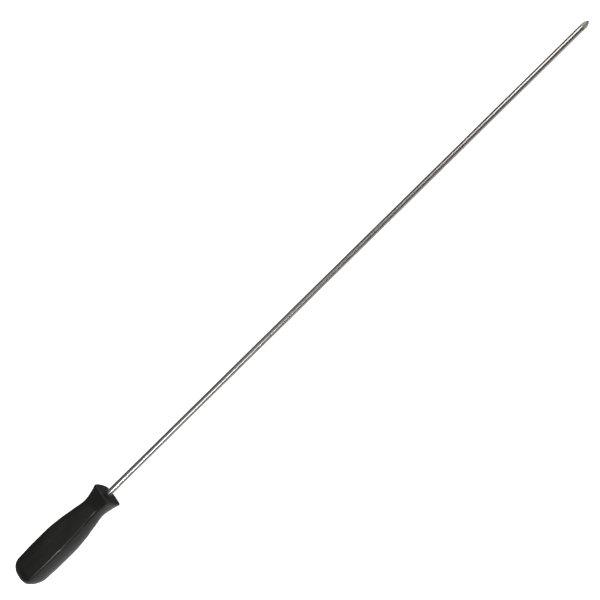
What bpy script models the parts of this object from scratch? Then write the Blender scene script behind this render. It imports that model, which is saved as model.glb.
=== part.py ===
"""Extra-long cross-head screwdriver: a four-sided moulded handle on a long round steel blade.

The tool's axis is world X. The origin is the centre of the blade's end flat, and the handle lies towards -X.
Each piece is modelled upright, with the tip at the top, and one empty lays the whole tool on its side.
"""

import math

import bmesh
import bpy
from mathutils import Matrix

INCH = 0.0254

# Blade: one bar with a cross point, a round shank and a tang with two swaged ears.
BLADE_LENGTH = 24 * INCH  # from the handle's front face to the end flat
SHANK_RADIUS = 0.0030
TANG_LENGTH = 0.072  # the part of the bar inside the handle
TANG_CHAMFER = 0.0008
END_FLAT_RADIUS = 0.0009
NOSE_RADIUS = 0.0026
NOSE_HALF_ANGLE = math.radians(30)
POINT_HALF_ANGLE = math.radians(13.25)
FLUTE_COUNT = 4
FLUTE_LENGTH = 0.0110  # from the end flat to where a flute runs out of the shank
FLUTE_ROOT_RADIUS = 0.0007  # from the axis to a flute's root, at the end flat
FLUTE_TURN = math.radians(-10)  # the first flute's angle to the handle's flats
EAR_SPAN = 0.0082
EAR_THICKNESS = 0.0024
EAR_LENGTH = 0.014
EAR_SETBACK = 0.050  # from the handle's front face to the middle of the ears
EAR_BEVEL = 0.0006
EAR_BEVEL_STEPS = 2
BLADE_SIDES = 32

# Handle: a solid moulding, square in section, with crowned sides and rounded ridges.
HANDLE_LENGTH = 0.1073
HANDLE_OUTLINE = (  # (distance behind the front face, half the width across the flats, ridge radius)
    (0.0000, 0.01285, 0.0024),
    (0.0090, 0.01065, 0.0030),
    (0.0175, 0.00955, 0.0032),  # the waist
    (0.0300, 0.01102, 0.0025),
    (0.0450, 0.01298, 0.0020),
    (0.0600, 0.01405, 0.0020),  # the belly is parallel from here
    (0.0760, 0.01405, 0.0020),  # to here, and the tool lies on it
    (0.0940, 0.01355, 0.0022),
    (HANDLE_LENGTH, 0.01285, 0.0026),
)
SIDE_CROWN = 3.3  # the radius of a side's crown, as a multiple of the half width
FRONT_FILLET = 0.0012
BUTT_DOME = 0.012  # the length over which the butt closes
BUTT_FULLNESS = 4  # a higher value gives a squarer shoulder
BUTT_RIDGE_SHARE = 0.85  # the ridge radius at the very end, as a share of the half width
SIDE_STEPS = 5
RIDGE_STEPS = 4
FILLET_STEPS = 4
BODY_STEP = 0.005
DOME_STEPS = 9

# Clearance between the bar and its socket, and between the ears and their pocket.
SOCKET_GAP = 0.0003
CUTTER_OVERRUN = 0.002

# Height of the handle's front face while the tool stands upright with its end flat at zero.
FRONT_HEIGHT = -BLADE_LENGTH

MERGE_DISTANCE = 0.00001  # joins a turned profile's points where they meet on its axis
SHARP_ANGLE = math.radians(35)  # the handle's edges steeper than this are shaded sharp

PLASTIC_COLOUR = (0.018, 0.018, 0.017)
PLASTIC_ROUGHNESS = 0.3
CHROME_COLOUR = (0.63, 0.63, 0.62)
CHROME_ROUGHNESS = 0.12


def clear_scene():
    for obj in list(bpy.data.objects):
        bpy.data.objects.remove(obj, do_unlink=True)


def new_collection(name):
    collection = bpy.data.collections.new(name)
    bpy.context.scene.collection.children.link(collection)
    return collection


def tool_axis(collection):
    """The empty that turns the upright tool so that its tip points along +X."""
    axis = bpy.data.objects.new("tool_axis", None)
    axis.rotation_euler = (0.0, math.pi / 2, 0.0)
    collection.objects.link(axis)
    return axis


def principled(name, colour, roughness, metallic):
    material = bpy.data.materials.new(name)
    material.use_nodes = True
    shader = material.node_tree.nodes["Principled BSDF"]
    shader.inputs["Base Color"].default_value = (*colour, 1.0)
    shader.inputs["Roughness"].default_value = roughness
    shader.inputs["Metallic"].default_value = metallic
    return material


def place(obj, collection, axis):
    for owner in list(obj.users_collection):
        owner.objects.unlink(obj)
    collection.objects.link(obj)
    obj.parent = axis


def as_helper(obj):
    """Leaves out of the model an object that only cuts or joins another."""
    obj.hide_render = True
    obj.display_type = "WIRE"
    return obj


def boolean(obj, operation, other):
    modifier = obj.modifiers.new(f"{operation.lower()}_{other.name}", "BOOLEAN")
    modifier.operation = operation
    modifier.solver = "EXACT"
    modifier.object = other


def turned(name, profile, collection, axis):
    """A solid turned about Z, from (radius, height) points that run from its top to its bottom."""
    mesh = bpy.data.meshes.new(name)
    points = [(radius, 0.0, height) for radius, height in profile]
    mesh.from_pydata(points, [(i, i + 1) for i in range(len(points) - 1)], [])
    obj = bpy.data.objects.new(name, mesh)
    place(obj, collection, axis)
    screw = obj.modifiers.new("turn", "SCREW")
    screw.axis = "Z"
    screw.steps = screw.render_steps = BLADE_SIDES
    screw.use_merge_vertices = True
    screw.merge_threshold = MERGE_DISTANCE
    screw.use_smooth_shade = True
    return obj


def ears(name, grow, collection, axis):
    """The two ears as one block across the tang, grown on every side by the given gap."""
    bpy.ops.mesh.primitive_cube_add(size=1.0)
    obj = bpy.context.object
    obj.name = name
    size = (EAR_SPAN + 2 * grow, EAR_THICKNESS + 2 * grow, EAR_LENGTH + 2 * grow)
    obj.data.transform(Matrix.Diagonal((*size, 1.0)))
    obj.location = (0.0, 0.0, FRONT_HEIGHT - EAR_SETBACK)
    place(obj, collection, axis)
    bevel = obj.modifiers.new("soft_edges", "BEVEL")
    bevel.width = EAR_BEVEL
    bevel.segments = EAR_BEVEL_STEPS
    return as_helper(obj)


def flute_cutter(index, collection, axis):
    """A square bar, one edge of which is the root of a V flute that climbs out of the shank."""
    half_diagonal = 3 * SHANK_RADIUS
    bpy.ops.mesh.primitive_cylinder_add(vertices=4, radius=half_diagonal, depth=3 * FLUTE_LENGTH)
    cutter = bpy.context.object
    cutter.name = f"flute_cutter_{index + 1}"
    cutter.data.transform(Matrix.Translation((half_diagonal, 0.0, 0.0)))
    slope = math.atan2(SHANK_RADIUS - FLUTE_ROOT_RADIUS, FLUTE_LENGTH)
    turn = FLUTE_TURN + index * math.tau / FLUTE_COUNT
    cutter.location = (FLUTE_ROOT_RADIUS * math.cos(turn), FLUTE_ROOT_RADIUS * math.sin(turn), 0.0)
    cutter.rotation_euler = (0.0, -slope, turn)
    place(cutter, collection, axis)
    return as_helper(cutter)


def blade_profile():
    nose_end = -(NOSE_RADIUS - END_FLAT_RADIUS) / math.tan(NOSE_HALF_ANGLE)
    point_end = nose_end - (SHANK_RADIUS - NOSE_RADIUS) / math.tan(POINT_HALF_ANGLE)
    tang_end = FRONT_HEIGHT - TANG_LENGTH
    return (
        (0.0, 0.0),
        (END_FLAT_RADIUS, 0.0),
        (NOSE_RADIUS, nose_end),
        (SHANK_RADIUS, point_end),
        (SHANK_RADIUS, tang_end + TANG_CHAMFER),
        (SHANK_RADIUS - TANG_CHAMFER, tang_end),
        (0.0, tang_end),
    )


def make_blade(parts, cutters, axis):
    blade = turned("blade", blade_profile(), parts, axis)
    boolean(blade, "UNION", ears("ear_block", 0.0, cutters, axis))
    for index in range(FLUTE_COUNT):
        boolean(blade, "DIFFERENCE", flute_cutter(index, cutters, axis))
    blade.data.materials.append(principled("polished_chrome", CHROME_COLOUR, CHROME_ROUGHNESS, 1.0))


def outline_slope(i, column):
    """The slope of one of the outline's columns at a row: level at a highest or lowest row."""

    def rise(a, b):
        first, second = HANDLE_OUTLINE[a], HANDLE_OUTLINE[b]
        return (second[column] - first[column]) / (second[0] - first[0])

    last = len(HANDLE_OUTLINE) - 1
    before, after = rise(max(i - 1, 0), max(i, 1)), rise(min(i, last - 1), min(i + 1, last))
    if before * after <= 0:
        return 0.0
    return 2 * before * after / (before + after)


def on_outline(distance, column):
    """The smooth curve through one of the outline's columns, at a distance behind the front face."""
    row = max(i for i in range(len(HANDLE_OUTLINE) - 1) if HANDLE_OUTLINE[i][0] <= distance)
    start, end = HANDLE_OUTLINE[row], HANDLE_OUTLINE[row + 1]
    span = end[0] - start[0]
    t = (distance - start[0]) / span
    blend = t * t * (3 - 2 * t)
    bend = outline_slope(row, column) * t * (1 - t) ** 2 - outline_slope(row + 1, column) * t * t * (1 - t)
    return start[column] + (end[column] - start[column]) * blend + bend * span


def half_width(distance):
    return on_outline(distance, 1)


def ridge_radius(distance):
    return on_outline(distance, 2)


def section(half, ridge):
    """A square's outline with crowned sides and round ridges, as (x, y) points in turn."""
    crown = SIDE_CROWN * half
    offset, reach = crown - half, crown - ridge
    ridge_centre = (math.sqrt(2 * reach**2 - offset**2) - offset) / 2
    meet = math.atan2(ridge_centre, ridge_centre + offset)
    corner = [(crown * math.cos(a) - offset, crown * math.sin(a)) for a in spread(-meet, meet, SIDE_STEPS)]
    for a in spread(meet, math.pi / 2 - meet, RIDGE_STEPS):
        corner.append((ridge_centre + ridge * math.cos(a), ridge_centre + ridge * math.sin(a)))
    points = []
    for _ in range(4):
        points.extend(corner)
        corner = [(-y, x) for x, y in corner]
    return points


def spread(start, end, steps):
    """Evenly spaced values from start up to, but without, end."""
    return [start + (end - start) * i / steps for i in range(steps)]


def body_distances(start, end):
    """Even steps from start up to end, with a step at each of the outline's points."""
    marks = [start] + [row[0] for row in HANDLE_OUTLINE if start < row[0] < end] + [end]
    distances = []
    for first, last in zip(marks, marks[1:]):
        distances += spread(first, last, max(1, round((last - first) / BODY_STEP)))
    return distances


def handle_stations():
    """Each ring's (distance behind the front face, half width, ridge radius), from that face to the butt."""
    stations = []
    for angle in spread(0.0, math.pi / 2, FILLET_STEPS):
        distance = FRONT_FILLET * (1 - math.cos(angle))
        inset = FRONT_FILLET * (1 - math.sin(angle))
        stations.append((distance, half_width(distance) - inset, ridge_radius(distance) - inset))
    dome_start = HANDLE_LENGTH - BUTT_DOME
    for distance in body_distances(FRONT_FILLET, dome_start):
        stations.append((distance, half_width(distance), ridge_radius(distance)))
    for angle in spread(0.0, math.pi / 2, DOME_STEPS):
        way = math.sin(angle)
        distance = dome_start + BUTT_DOME * way
        half = half_width(distance) * math.cos(angle) ** (2 / BUTT_FULLNESS)
        sharp = ridge_radius(distance)
        ridge = sharp + (BUTT_RIDGE_SHARE * half - sharp) * way**2
        stations.append((distance, half, ridge))
    return stations


def make_handle_mesh():
    """A loft through the sections, with a flat front face and a point at the middle of the butt."""
    shape = bmesh.new()
    rings = []
    for distance, half, ridge in handle_stations():
        height = FRONT_HEIGHT - distance
        rings.append([shape.verts.new((x, y, height)) for x, y in section(half, ridge)])
    butt = shape.verts.new((0.0, 0.0, FRONT_HEIGHT - HANDLE_LENGTH))
    count = len(rings[0])
    shape.faces.new(rings[0])
    for upper, lower in zip(rings, rings[1:]):
        for i in range(count):
            after = (i + 1) % count
            shape.faces.new((lower[i], lower[after], upper[after], upper[i]))
    for i in range(count):
        shape.faces.new((rings[-1][(i + 1) % count], rings[-1][i], butt))
    mesh = bpy.data.meshes.new("handle")
    shape.to_mesh(mesh)
    shape.free()
    mesh.shade_smooth()
    mesh.set_sharp_from_angle(angle=SHARP_ANGLE)
    return mesh


def socket_profile():
    radius = SHANK_RADIUS + SOCKET_GAP
    top = FRONT_HEIGHT + CUTTER_OVERRUN
    bottom = FRONT_HEIGHT - TANG_LENGTH - SOCKET_GAP
    return ((0.0, top), (radius, top), (radius, bottom), (0.0, bottom))


def make_handle(parts, cutters, axis):
    handle = bpy.data.objects.new("handle", make_handle_mesh())
    place(handle, parts, axis)
    boolean(handle, "DIFFERENCE", as_helper(turned("socket_cutter", socket_profile(), cutters, axis)))
    boolean(handle, "DIFFERENCE", ears("ear_pocket_cutter", SOCKET_GAP, cutters, axis))
    handle.data.materials.append(principled("black_moulding", PLASTIC_COLOUR, PLASTIC_ROUGHNESS, 0.0))


def main():
    clear_scene()
    parts = new_collection("long_cross_head_screwdriver")
    cutters = new_collection("cutters")
    axis = tool_axis(parts)
    make_blade(parts, cutters, axis)
    make_handle(parts, cutters, axis)


main()
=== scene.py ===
"""Looks of the extra-long cross-head screwdriver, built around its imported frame.

The blade points along +X and its end flat is at the origin. The handle lies towards -X, on its belly.
"""

import math

import bmesh
import bpy
from mathutils import Matrix, Vector


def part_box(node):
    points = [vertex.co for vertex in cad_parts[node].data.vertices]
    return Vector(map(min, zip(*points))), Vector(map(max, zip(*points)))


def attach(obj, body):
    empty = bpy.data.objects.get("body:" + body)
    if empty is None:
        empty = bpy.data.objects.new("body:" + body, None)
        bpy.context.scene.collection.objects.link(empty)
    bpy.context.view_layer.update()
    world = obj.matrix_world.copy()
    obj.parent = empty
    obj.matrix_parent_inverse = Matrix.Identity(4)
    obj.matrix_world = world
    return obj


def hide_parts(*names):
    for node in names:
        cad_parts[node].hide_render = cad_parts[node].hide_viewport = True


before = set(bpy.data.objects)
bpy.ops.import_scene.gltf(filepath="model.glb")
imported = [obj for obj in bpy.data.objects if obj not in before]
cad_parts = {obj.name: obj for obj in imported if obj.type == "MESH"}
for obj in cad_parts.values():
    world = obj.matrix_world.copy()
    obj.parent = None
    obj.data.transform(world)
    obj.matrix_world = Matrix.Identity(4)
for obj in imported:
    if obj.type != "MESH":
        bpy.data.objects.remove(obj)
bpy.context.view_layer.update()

handle_low, handle_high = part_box("handle")
blade_low, blade_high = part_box("blade")

FRONT_X = handle_high.x
HANDLE_LENGTH = handle_high.x - handle_low.x
BELLY_HALF_WIDTH = handle_high.z
TIP_X = blade_high.x
TANG_END_X = blade_low.x
SHANK_RADIUS = blade_high.y
EAR_HALF_SPAN = blade_high.z

# Handle: a solid moulding, square in section, with crowned sides and rounded ridges.
HANDLE_OUTLINE = (  # (distance behind the front face, half the width across the flats, ridge radius)
    (0.0000, 0.01285, 0.0024),
    (0.0090, 0.01065, 0.0030),
    (0.0175, 0.00955, 0.0032),  # the waist
    (0.0300, 0.01102, 0.0025),
    (0.0450, 0.01298, 0.0020),
    (0.0600, BELLY_HALF_WIDTH, 0.0020),  # the belly is parallel from here
    (0.0760, BELLY_HALF_WIDTH, 0.0020),  # to here, and the tool lies on it
    (0.0940, 0.01355, 0.0022),
    (HANDLE_LENGTH, 0.01285, 0.0026),
)
SIDE_CROWN = 3.3  # the radius of a side's crown, as a multiple of the half width
FRONT_FILLET = 0.0012
BUTT_DOME = 0.012  # the length over which the butt closes
BUTT_FULLNESS = 4  # a higher value gives a squarer shoulder
BUTT_RIDGE_SHARE = 0.85  # the ridge radius at the very end, as a share of the half width
SIDE_STEPS = 16
RIDGE_STEPS = 14
FILLET_STEPS = 8
BODY_STEP = 0.001
DOME_STEPS = 30
FACE_STEPS = 5
HANDLE_SHARP_ANGLE = math.radians(50)

# Socket in the handle. The moulding shrinks onto the bar, so only a hair's breadth shows at the mouth.
SOCKET_GAP = 0.00006
MOUTH_ROUND = 0.0004
MOUTH_STEPS = 4
SOCKET_STEP = 0.006

# Blade: the ears lie up and down, and the flutes are turned from the handle's flats.
EAR_HALF_THICKNESS = 0.0012
EAR_START, EAR_END = 0.043, 0.057  # distances behind the handle's front face
EAR_ROUND = 0.0008
EAR_ROUND_STEPS = 6
TANG_CHAMFER = 0.0008
TANG_RINGS = 10
END_FLAT_RADIUS = 0.0009
NOSE_RADIUS = 0.0026
NOSE_HALF_ANGLE = math.radians(30)
POINT_HALF_ANGLE = math.radians(13.25)
FLUTE_COUNT = 4
FLUTE_TURN = math.radians(10)  # from straight up towards +Y
FLUTE_LENGTH = 0.0110  # from the end flat to where a flute runs out of the shank
FLUTE_ROOT_RADIUS = 0.0007
FLUTE_ROOT_SLOPE = math.tan(math.radians(3))
FLUTE_BEND_START = 0.0045  # from here the root curves out to the shank
BARE_LENGTH = 0.0086  # the end of the bar that has no plating
NOSE_DARK_START, NOSE_DARK_FULL = 0.0028, 0.0008  # distances behind the end flat between which the steel darkens
CREST_SHARE = 0.985  # of the outer radius: a face further in belongs to a flute
CREST_STEPS = 6
WALL_STEPS = 8
LEAST_FLUTE_ANGLE = math.radians(4)
SPREAD_LENGTH = 0.006  # behind the flutes, where the lines along the shank even out
SPREAD_RINGS = 8
TIP_STEP = 0.00018
SHANK_STEP = 0.012
CORNER_ROUND = 0.00005
BLADE_SHARP_ANGLE = math.radians(24)
TINY = 1e-9  # keeps a divisor off zero
SAME_PLACE = 1e-5

# The tool touches the floor with the handle's belly and, at its other end, with the point's shoulder.
BELLY_REST = Vector((FRONT_X - 0.060, 0.0, -BELLY_HALF_WIDTH))
NOSE_LENGTH = (NOSE_RADIUS - END_FLAT_RADIUS) / math.tan(NOSE_HALF_ANGLE)
SHOULDER_LENGTH = NOSE_LENGTH + (SHANK_RADIUS - NOSE_RADIUS) / math.tan(POINT_HALF_ANGLE)
POINT_REST = Vector((TIP_X - SHOULDER_LENGTH, 0.0, -SHANK_RADIUS))
FLOOR_SIZE = 6.0
FLOOR_GLOW = 0.6

# Camera: square to the shank, 25 degrees off the vertical, and rolled so that the tool runs up the picture.
CAMERA_TILT = math.radians(25)
CAMERA_ROLL = math.radians(44.55)
CAMERA_DISTANCE = 0.7533
CAMERA_LENS = 50.0
AIM_X = FRONT_X + 0.2470
AIM_OFFSET = 0.00326

STUDIO_TONES = (  # (height of the direction, from -1 straight down to 1 straight up, and its grey)
    (-1.0, 0.57),
    (-0.5, 0.66),
    (-0.12, 0.45),
    (0.06, 0.23),
    (0.3, 0.06),
    (0.7, 0.05),
    (1.0, 0.40),
)


def spread(start, end, steps):
    """Evenly spaced values from start up to, but without, end."""
    return [start + (end - start) * i / steps for i in range(steps)]


def smooth(t):
    """A step from 0 to 1 that starts and ends level."""
    t = min(max(t, 0.0), 1.0)
    return t * t * (3 - 2 * t)


# ---------------------------------------------------------------- the handle's shape


def outline_slope(i, column):
    """The slope of one of the outline's columns at a row: level at a highest or lowest row."""

    def rise(a, b):
        first, second = HANDLE_OUTLINE[a], HANDLE_OUTLINE[b]
        return (second[column] - first[column]) / (second[0] - first[0])

    last = len(HANDLE_OUTLINE) - 1
    before, after = rise(max(i - 1, 0), max(i, 1)), rise(min(i, last - 1), min(i + 1, last))
    if before * after <= 0:
        return 0.0
    return 2 * before * after / (before + after)


def on_outline(distance, column):
    """The smooth curve through one of the outline's columns, at a distance behind the front face."""
    row = max(i for i in range(len(HANDLE_OUTLINE) - 1) if HANDLE_OUTLINE[i][0] <= distance)
    start, end = HANDLE_OUTLINE[row], HANDLE_OUTLINE[row + 1]
    span = end[0] - start[0]
    t = (distance - start[0]) / span
    bend = outline_slope(row, column) * t * (1 - t) ** 2 - outline_slope(row + 1, column) * t * t * (1 - t)
    return start[column] + (end[column] - start[column]) * smooth(t) + bend * span


def half_width(distance):
    return on_outline(distance, 1)


def ridge_radius(distance):
    return on_outline(distance, 2)


def section(half, ridge):
    """A square's outline with crowned sides and round ridges, as (y, z) points in turn from +Y towards +Z."""
    crown = SIDE_CROWN * half
    offset, reach = crown - half, crown - ridge
    ridge_centre = (math.sqrt(2 * reach**2 - offset**2) - offset) / 2
    meet = math.atan2(ridge_centre, ridge_centre + offset)
    corner = [(crown * math.cos(a) - offset, crown * math.sin(a)) for a in spread(-meet, meet, SIDE_STEPS)]
    for a in spread(meet, math.pi / 2 - meet, RIDGE_STEPS):
        corner.append((ridge_centre + ridge * math.cos(a), ridge_centre + ridge * math.sin(a)))
    points = []
    for _ in range(4):
        points.extend(corner)
        corner = [(-z, y) for y, z in corner]
    return points


def handle_stations():
    """Each ring's (distance behind the front face, half width, ridge radius), from the butt to that face."""
    stations = []
    for angle in spread(0.0, math.pi / 2, FILLET_STEPS):
        distance = FRONT_FILLET * (1 - math.cos(angle))
        inset = FRONT_FILLET * (1 - math.sin(angle))
        stations.append((distance, half_width(distance) - inset, ridge_radius(distance) - inset))
    dome_start = HANDLE_LENGTH - BUTT_DOME
    for distance in spread(FRONT_FILLET, dome_start, round((dome_start - FRONT_FILLET) / BODY_STEP)):
        stations.append((distance, half_width(distance), ridge_radius(distance)))
    for angle in spread(0.0, math.pi / 2, DOME_STEPS):
        way = math.sin(angle)
        distance = dome_start + BUTT_DOME * way
        half = half_width(distance) * math.cos(angle) ** (2 / BUTT_FULLNESS)
        sharp = ridge_radius(distance)
        ridge = sharp + (BUTT_RIDGE_SHARE * half - sharp) * way**2
        stations.append((distance, half, ridge))
    return stations[::-1]


def ear_reach(angle, grow):
    """How far the ears' block reaches from the axis at an angle, grown on every side."""
    span, thickness = EAR_HALF_SPAN + grow, EAR_HALF_THICKNESS + grow
    across, up = abs(math.sin(angle)), abs(math.cos(angle))
    return min(span / max(up, TINY), thickness / max(across, TINY))


def ear_share(distance, grow):
    """0 outside the ears' length and 1 along it, with rounded ends."""
    inside = min(distance - (EAR_START - grow), (EAR_END + grow) - distance)
    t = min(max(inside / EAR_ROUND, 0.0), 1.0)
    return math.sqrt(1 - (1 - t) ** 2)


def tang_radius(angle, distance, radius, grow):
    """The bar's radius at an angle, with the ears where they are."""
    ear = ear_reach(angle, grow)
    return radius + max(ear - radius, 0.0) * ear_share(distance, grow)


def ear_distances(grow):
    """Places along the bar that follow the ears' rounded ends."""
    places = []
    turns = spread(0.0, math.pi / 2, EAR_ROUND_STEPS)
    for end, way in ((EAR_START - grow, 1), (EAR_END + grow, -1)):
        places += [end + way * EAR_ROUND * (1 - math.cos(a)) for a in turns]
        places.append(end + way * EAR_ROUND)
    return places


def socket_rings(angles):
    """The socket's rings as (distance, points), from its mouth to its bottom."""
    radius = SHANK_RADIUS + SOCKET_GAP
    depth = FRONT_X - TANG_END_X + SOCKET_GAP
    rings = []
    for a in spread(0.0, math.pi / 2, MOUTH_STEPS):
        wide = radius + MOUTH_ROUND * (1 - math.sin(a))
        rings.append((MOUTH_ROUND * (1 - math.cos(a)), [wide] * len(angles)))
    places = spread(MOUTH_ROUND, depth, round((depth - MOUTH_ROUND) / SOCKET_STEP)) + [depth]
    for distance in sorted(places + ear_distances(SOCKET_GAP)):
        rings.append((distance, [tang_radius(a, distance, radius, SOCKET_GAP) for a in angles]))
    return [
        (distance, [(r * math.sin(a), r * math.cos(a)) for r, a in zip(radii, angles)])
        for distance, radii in rings
    ]


def loft(name, rings, first_pole, last_pole):
    """A closed mesh through rings of points, with a pole at each end."""
    shape = bmesh.new()
    start = shape.verts.new(first_pole)
    end = shape.verts.new(last_pole)
    made = [[shape.verts.new(point) for point in ring] for ring in rings]
    count = len(made[0])
    for i in range(count):
        after = (i + 1) % count
        shape.faces.new((start, made[0][i], made[0][after]))
        shape.faces.new((end, made[-1][after], made[-1][i]))
        for low, high in zip(made, made[1:]):
            shape.faces.new((low[i], high[i], high[after], low[after]))
    bmesh.ops.recalc_face_normals(shape, faces=shape.faces)
    mesh = bpy.data.meshes.new(name)
    shape.to_mesh(mesh)
    shape.free()
    mesh.shade_smooth()
    return mesh


def add_piece(name, mesh, node):
    piece = bpy.data.objects.new(name, mesh)
    bpy.context.scene.collection.objects.link(piece)
    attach(piece, "root")
    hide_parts(node)
    return piece


def make_handle():
    """The moulding: its outside from the butt to the front face, then the face and the blind socket."""
    rings = []
    for distance, half, ridge in handle_stations():
        rings.append([Vector((FRONT_X - distance, y, z)) for y, z in section(half, ridge)])
    rim = rings[-1]
    angles = [math.atan2(point.y, point.z) for point in rim]
    socket = socket_rings(angles)
    mouth = [Vector((FRONT_X, y, z)) for y, z in socket[0][1]]
    for share in spread(0.0, 1.0, FACE_STEPS)[1:]:
        rings.append([outer.lerp(inner, share) for outer, inner in zip(rim, mouth)])
    for distance, points in socket:
        rings.append([Vector((FRONT_X - distance, y, z)) for y, z in points])
    butt = (FRONT_X - HANDLE_LENGTH, 0.0, 0.0)
    bottom = (rings[-1][0].x, 0.0, 0.0)
    mesh = loft("handle_moulding", rings, butt, bottom)
    mesh.set_sharp_from_angle(angle=HANDLE_SHARP_ANGLE)
    mesh.materials.append(black_moulding())
    mesh.materials.append(matt_face())
    for face in mesh.polygons:
        on_front = abs(face.center.x - FRONT_X) < SAME_PLACE
        face.material_index = 1 if on_front else 0  # 1 is the matt face
    return add_piece("handle_moulding", mesh, "handle")


# ---------------------------------------------------------------- the blade's shape


def cone_radius(distance):
    """The blade's outer radius, without its flutes, at a distance behind the end flat."""
    nose = END_FLAT_RADIUS + distance * math.tan(NOSE_HALF_ANGLE)
    point = NOSE_RADIUS + (distance - NOSE_LENGTH) * math.tan(POINT_HALF_ANGLE)
    return min(nose, point, SHANK_RADIUS)


def root_radius(distance):
    """A flute root's distance from the axis: a straight climb, then a curve out to the shank."""
    bend = (SHANK_RADIUS - FLUTE_ROOT_RADIUS - FLUTE_ROOT_SLOPE * FLUTE_LENGTH) / (
        FLUTE_LENGTH - FLUTE_BEND_START
    ) ** 2
    late = max(distance - FLUTE_BEND_START, 0.0)
    return FLUTE_ROOT_RADIUS + FLUTE_ROOT_SLOPE * distance + bend * late**2


def flute_half_angle(distance):
    """The angle from a flute's root to the edge of its crest, or 0 where there is no flute."""
    share = root_radius(distance) / (math.sqrt(2) * cone_radius(distance))
    return max(math.acos(min(share, 1.0)) - math.pi / 4, 0.0)


def ring_angles(distance):
    """The angles round one flute's quarter at which the blade's skin has points, from crest to crest."""
    even = math.pi / 4 * WALL_STEPS / (WALL_STEPS + CREST_STEPS)
    settle = smooth((distance - FLUTE_LENGTH) / SPREAD_LENGTH)
    least = LEAST_FLUTE_ANGLE + (even - LEAST_FLUTE_ANGLE) * settle
    edge = max(flute_half_angle(distance), least)
    quarter = math.pi / 4
    return (
        spread(-quarter, -edge, CREST_STEPS)
        + spread(-edge, 0.0, WALL_STEPS)
        + spread(0.0, edge, WALL_STEPS)
        + spread(edge, quarter, CREST_STEPS)
    )


def blade_ring(distance):
    """One ring of the blade, at a distance behind the end flat, with its flutes or its ears."""
    outer, root = cone_radius(distance), root_radius(distance)
    behind_front = distance - (TIP_X - FRONT_X)
    points = []
    for flute in range(FLUTE_COUNT):
        for away in ring_angles(distance):
            radius = min(outer, root / (math.cos(away) - abs(math.sin(away)) + TINY))
            angle = FLUTE_TURN + flute * math.tau / FLUTE_COUNT + away
            radius = tang_radius(angle, behind_front, radius, 0.0)
            points.append(Vector((TIP_X - distance, radius * math.sin(angle), radius * math.cos(angle))))
    return points


def blade_distances():
    """Places of the blade's rings: close together over the point and the ears, and far apart on the shank."""
    flute_end = FLUTE_LENGTH + 2 * TIP_STEP
    front = TIP_X - FRONT_X
    tang_end = TIP_X - TANG_END_X
    places = spread(0.0, flute_end, round(flute_end / TIP_STEP))
    for corner in (NOSE_LENGTH, SHOULDER_LENGTH):
        places += [corner - CORNER_ROUND, corner + CORNER_ROUND]
    places += spread(flute_end, flute_end + SPREAD_LENGTH, SPREAD_RINGS)
    start = flute_end + SPREAD_LENGTH
    places += spread(start, front, round((front - start) / SHANK_STEP))
    places += spread(front, tang_end - TANG_CHAMFER, TANG_RINGS)
    places += [front + place for place in ear_distances(0.0)]
    return sorted(places + [tang_end - TANG_CHAMFER])


def make_blade():
    """The bar, from the point's end flat to the chamfered end of its tang."""
    rings = [blade_ring(distance) for distance in blade_distances()]
    shrink = (SHANK_RADIUS - TANG_CHAMFER) / SHANK_RADIUS
    rings.append([Vector((TANG_END_X, point.y * shrink, point.z * shrink)) for point in rings[-1]])
    mesh = loft("cross_head_blade", rings, (TIP_X, 0.0, 0.0), (TANG_END_X, 0.0, 0.0))
    mesh.set_sharp_from_angle(angle=BLADE_SHARP_ANGLE)
    chrome = polished_chrome()
    # Painted reflection: the crests are coloured dark for the dark surroundings that they mirror. The flutes
    # are pale partly for their cut finish and partly as a painted highlight from the lamps that they face.
    crest = point_steel("crest_steel_painted_dark_reflection", (0.16, 0.15, 0.122), (0.12, 0.112, 0.09), 0.0, 0.45)
    flute = point_steel("cut_flute_steel_painted_highlight", (0.33, 0.314, 0.275), (0.26, 0.247, 0.213), 0.1, 0.5)
    for material in (chrome, crest, flute):
        mesh.materials.append(material)
    for face in mesh.polygons:
        middle = face.center
        distance = TIP_X - middle.x
        cut = math.hypot(middle.y, middle.z) < CREST_SHARE * cone_radius(distance)
        if distance < BARE_LENGTH:
            face.material_index = 2 if cut else 1  # 2 is a flute and 1 a crest
    return add_piece("cross_head_blade", mesh, "blade")


# ---------------------------------------------------------------- materials


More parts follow.
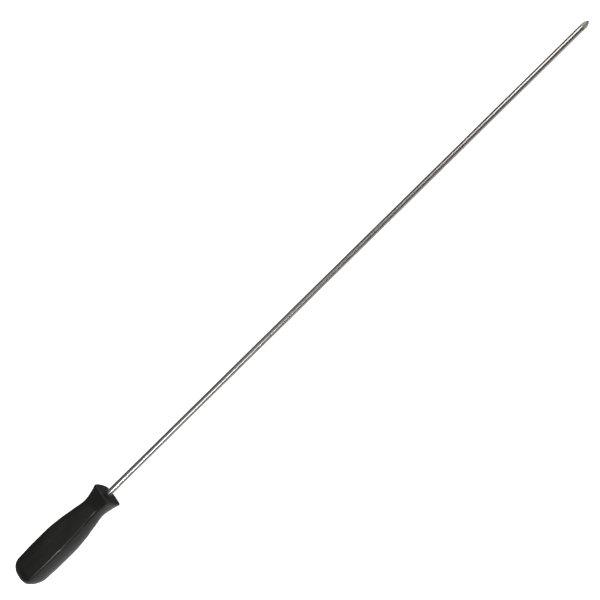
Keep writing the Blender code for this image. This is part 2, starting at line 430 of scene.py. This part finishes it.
class Finish:
    """A Principled material and short ways to add nodes to it."""

    def __init__(self, name, colour, roughness, metallic):
        self.material = bpy.data.materials.new(name)
        self.material.use_nodes = True
        self.tree = self.material.node_tree
        self.shader = self.tree.nodes["Principled BSDF"]
        self.shader.inputs["Base Color"].default_value = (*colour, 1.0)
        self.shader.inputs["Roughness"].default_value = roughness
        self.shader.inputs["Metallic"].default_value = metallic
        self.place = self.add("ShaderNodeTexCoord").outputs["Object"]

    def add(self, kind, **settings):
        node = self.tree.nodes.new(kind)
        for name, value in settings.items():
            setattr(node, name, value)
        return node

    def link(self, source, target):
        self.tree.links.new(source, target)

    def noise(self, scale, detail=3.0, stretch=(1.0, 1.0, 1.0), roughness=0.5):
        """Noise with this many features to a metre, squeezed along each axis by stretch."""
        mapping = self.add("ShaderNodeMapping")
        mapping.inputs["Scale"].default_value = stretch
        texture = self.add("ShaderNodeTexNoise")
        texture.inputs["Scale"].default_value = scale
        texture.inputs["Detail"].default_value = detail
        texture.inputs["Roughness"].default_value = roughness
        self.link(self.place, mapping.inputs["Vector"])
        self.link(mapping.outputs["Vector"], texture.inputs["Vector"])
        return texture.outputs["Fac"]

    def remap(self, source, low, high, to_low, to_high):
        """source, mapped from low..high to to_low..to_high and held there beyond."""
        node = self.add("ShaderNodeMapRange")
        for name, value in (("From Min", low), ("From Max", high), ("To Min", to_low), ("To Max", to_high)):
            node.inputs[name].default_value = value
        self.link(source, node.inputs["Value"])
        return node.outputs["Result"]

    def blend(self, share, first, second):
        """A colour between two others. Each may be a colour or a socket."""
        node = self.add("ShaderNodeMix", data_type="RGBA")
        self.link(share, node.inputs["Factor"])
        for socket, value in ((node.inputs[6], first), (node.inputs[7], second)):
            if isinstance(value, tuple):
                socket.default_value = (*value, 1.0)
            else:
                self.link(value, socket)
        return node.outputs[2]

    def calculate(self, operation, first, second):
        node = self.add("ShaderNodeMath", operation=operation)
        for socket, value in zip(node.inputs, (first, second)):
            if isinstance(value, float):
                socket.default_value = value
            else:
                self.link(value, socket)
        return node.outputs["Value"]

    def bump(self, height, distance, below=None):
        """A bump of this height in metres, on top of another."""
        node = self.add("ShaderNodeBump")
        node.inputs["Distance"].default_value = distance
        self.link(height, node.inputs["Height"])
        if below is not None:
            self.link(below, node.inputs["Normal"])
        return node.outputs["Normal"]


def black_moulding():
    """Glossy black plastic: faint flow marks, an orange-peel skin, and fine scuffs from use."""
    finish = Finish("black_moulding_plastic", (0.008, 0.008, 0.007), 0.3, 0.0)
    flow = finish.noise(55.0, detail=2.0, stretch=(0.4, 1.0, 1.0))
    finish.shader.inputs["Specular IOR Level"].default_value = 0.26
    colour = finish.blend(
        finish.remap(flow, 0.35, 0.65, 0.0, 1.0), (0.0065, 0.0067, 0.0054), (0.0095, 0.0097, 0.0080)
    )
    scuffs = finish.remap(finish.noise(620.0, detail=4.0, stretch=(0.12, 1.0, 1.0)), 0.63, 0.72, 0.0, 1.0)
    finish.link(finish.blend(scuffs, colour, (0.012, 0.012, 0.011)), finish.shader.inputs["Base Color"])
    gloss = finish.remap(flow, 0.3, 0.7, 0.19, 0.25)
    finish.link(
        finish.calculate("ADD", gloss, finish.calculate("MULTIPLY", scuffs, 0.06)),
        finish.shader.inputs["Roughness"],
    )
    waves = finish.bump(finish.noise(95.0, detail=1.0), 0.00002)
    skin = finish.bump(finish.noise(1100.0, detail=2.0), 0.000012, waves)
    finish.link(skin, finish.shader.inputs["Normal"])
    return finish.material


def matt_face():
    """The moulding's front face: the same black plastic with a fine matt texture."""
    finish = Finish("black_moulding_face", (0.008, 0.008, 0.007), 0.6, 0.0)
    finish.shader.inputs["Specular IOR Level"].default_value = 0.06
    sparks = finish.noise(2400.0, detail=2.0)
    colour = finish.blend(sparks, (0.0055, 0.0057, 0.0048), (0.0105, 0.0107, 0.0092))
    finish.link(colour, finish.shader.inputs["Base Color"])
    finish.link(finish.remap(sparks, 0.3, 0.7, 0.55, 0.68), finish.shader.inputs["Roughness"])
    finish.link(finish.bump(sparks, 0.00001), finish.shader.inputs["Normal"])
    return finish.material


def polished_chrome():
    """Bright plating over a ground bar, whose fine rings spread a highlight along the bar."""
    finish = Finish("polished_chrome_plating", (0.61, 0.585, 0.56), 0.2, 1.0)
    finish.shader.inputs["Anisotropic"].default_value = 0.95
    finish.shader.inputs["Anisotropic Rotation"].default_value = 0.25
    tangent = finish.add("ShaderNodeTangent", direction_type="RADIAL", axis="X")
    finish.link(tangent.outputs["Tangent"], finish.shader.inputs["Tangent"])
    rings = finish.noise(2600.0, detail=3.0, stretch=(1.0, 0.03, 0.03))
    patches = finish.noise(30.0, detail=3.0, stretch=(0.5, 1.0, 1.0))
    finish.link(
        finish.blend(patches, (0.575, 0.552, 0.528), (0.645, 0.62, 0.594)), finish.shader.inputs["Base Color"]
    )
    finish.link(finish.remap(rings, 0.3, 0.7, 0.18, 0.22), finish.shader.inputs["Roughness"])
    finish.link(finish.bump(rings, 0.0000008), finish.shader.inputs["Normal"])
    return finish.material


def point_steel(name, light, dark, metallic, roughness):
    """Bare steel with smut in its grain, and darker towards the nose."""
    finish = Finish(name, light, roughness, metallic)
    finish.shader.inputs["Specular IOR Level"].default_value = 0.2
    grain = finish.noise(5200.0, detail=2.0)
    smut = finish.noise(700.0, detail=4.0)
    along = finish.add("ShaderNodeSeparateXYZ")
    finish.link(finish.place, along.inputs["Vector"])
    nose = finish.remap(along.outputs["X"], TIP_X - NOSE_DARK_START, TIP_X - NOSE_DARK_FULL, 0.0, 1.0)
    steel = finish.blend(finish.remap(smut, 0.35, 0.7, 0.0, 1.0), light, dark)
    finish.link(finish.blend(nose, steel, (0.10, 0.093, 0.08)), finish.shader.inputs["Base Color"])
    finish.link(
        finish.remap(grain, 0.3, 0.7, roughness - 0.07, roughness + 0.07), finish.shader.inputs["Roughness"]
    )
    finish.link(finish.bump(grain, 0.000006), finish.shader.inputs["Normal"])
    return finish.material


# ---------------------------------------------------------------- stage, light and camera


def make_floor():
    """A wide pale floor, a little self-lit, through the two places that the tool rests on."""
    along = (POINT_REST - BELLY_REST).normalized()
    across = Vector((0.0, 1.0, 0.0))
    turn = Matrix((along, across, along.cross(across))).transposed().to_4x4()
    mesh = bpy.data.meshes.new("floor")
    half = FLOOR_SIZE / 2
    corners = [(-half, -half, 0.0), (half, -half, 0.0), (half, half, 0.0), (-half, half, 0.0)]
    mesh.from_pydata(corners, [], [(0, 1, 2, 3)])
    floor = bpy.data.objects.new("floor", mesh)
    floor.matrix_world = Matrix.Translation((BELLY_REST + POINT_REST) / 2) @ turn
    bpy.context.scene.collection.objects.link(floor)
    finish = Finish("pale_floor", (0.90, 0.90, 0.90), 0.9, 0.0)
    tone = finish.noise(3.0, detail=1.0)
    colour = finish.blend(tone, (0.89, 0.89, 0.89), (0.91, 0.91, 0.91))
    finish.link(colour, finish.shader.inputs["Base Color"])
    finish.shader.inputs["Specular IOR Level"].default_value = 0.0
    finish.shader.inputs["Emission Color"].default_value = (1.0, 1.0, 1.0, 1.0)
    finish.shader.inputs["Emission Strength"].default_value = FLOOR_GLOW
    mesh.materials.append(finish.material)
    floor.visible_glossy = False


def add_softbox(name, target, lean, sway, distance, size, radiance, mirrored=True):
    """A soft light that faces a point on the tool.

    lean is its angle from the vertical towards +Y, and sway its angle from there towards +X.
    Unless mirrored, it lights the scene without showing in the polished surfaces.
    """
    away = Vector((math.sin(sway), math.sin(lean) * math.cos(sway), math.cos(lean) * math.cos(sway)))
    light = bpy.data.lights.new(name, "AREA")
    light.shape = "RECTANGLE"
    light.size, light.size_y = size
    light.energy = radiance * math.pi * light.size * light.size_y
    lamp = bpy.data.objects.new(name, light)
    lamp.location = target + away * distance
    lamp.rotation_mode = "QUATERNION"
    lamp.rotation_quaternion = away.to_track_quat("Z", "Y")
    lamp.visible_glossy = mirrored
    bpy.context.scene.collection.objects.link(lamp)


def make_lights():
    handle_end = Vector((FRONT_X - 0.04, 0.0, 0.0))
    handle_front = Vector((FRONT_X, 0.0, 0.0))
    shank_near = Vector((FRONT_X + 0.06, 0.0, 0.0))
    shank_far = Vector((TIP_X - 0.05, 0.0, 0.0))
    tip = Vector((TIP_X, 0.0, 0.0))
    middle = Vector((AIM_X, 0.0, 0.0))
    degrees = math.radians
    add_softbox("key", handle_end, degrees(-40), degrees(-24.0), 1.5, (0.3, 0.2), 40.0)
    add_softbox("key_fill", shank_near, degrees(-39), degrees(-14), 1.5, (0.64, 0.5), 4.6)
    add_softbox("point_fill", shank_far, degrees(6), degrees(23), 1.5, (0.66, 0.35), 4.7)
    add_softbox("flute_light", tip, degrees(60), 0.0, 1.0, (0.3, 0.3), 14.0, mirrored=False)
    add_softbox("face_light", handle_front, degrees(61), degrees(63), 1.5, (0.4, 0.35), 3.0)
    add_softbox("overhead", middle, 0.0, 0.0, 1.9, (3.2, 3.2), 1.8, mirrored=False)


def make_world():
    """A dim studio: grey overhead, dark round the horizon, and paler below, where the table is."""
    world = bpy.data.worlds.new("studio")
    world.use_nodes = True
    bpy.context.scene.world = world
    nodes, links = world.node_tree.nodes, world.node_tree.links
    place = nodes.new("ShaderNodeTexCoord")
    parts = nodes.new("ShaderNodeSeparateXYZ")
    height = nodes.new("ShaderNodeMapRange")
    height.inputs["From Min"].default_value = -1.0
    tone = nodes.new("ShaderNodeValToRGB")
    stops = tone.color_ramp.elements
    while len(stops) < len(STUDIO_TONES):
        stops.new(1.0)
    for stop, (rise, grey) in zip(stops, STUDIO_TONES):
        stop.position = (rise + 1) / 2
        stop.color = (grey, grey, grey, 1.0)
    links.new(place.outputs["Generated"], parts.inputs["Vector"])
    links.new(parts.outputs["Z"], height.inputs["Value"])
    links.new(height.outputs["Result"], tone.inputs["Fac"])
    links.new(tone.outputs["Color"], nodes["Background"].inputs["Color"])


def make_camera():
    to_camera = Vector((0.0, -math.sin(CAMERA_TILT), math.cos(CAMERA_TILT)))
    along, over = Vector((1.0, 0.0, 0.0)), Vector((0.0, math.cos(CAMERA_TILT), math.sin(CAMERA_TILT)))
    right = along * math.cos(CAMERA_ROLL) - over * math.sin(CAMERA_ROLL)
    up = along * math.sin(CAMERA_ROLL) + over * math.cos(CAMERA_ROLL)
    aim = Vector((AIM_X, 0.0, 0.0)) + over * AIM_OFFSET
    lens = bpy.data.cameras.new("camera")
    lens.lens = CAMERA_LENS
    lens.clip_start = 0.01
    camera = bpy.data.objects.new("camera", lens)
    turn = Matrix((right, up, to_camera)).transposed().to_4x4()
    camera.matrix_world = Matrix.Translation(aim + to_camera * CAMERA_DISTANCE) @ turn
    bpy.context.scene.collection.objects.link(camera)
    bpy.context.scene.camera = camera
    bpy.context.scene.view_settings.view_transform = "Standard"


make_camera()
make_handle()
make_blade()
make_floor()
make_lights()
make_world()
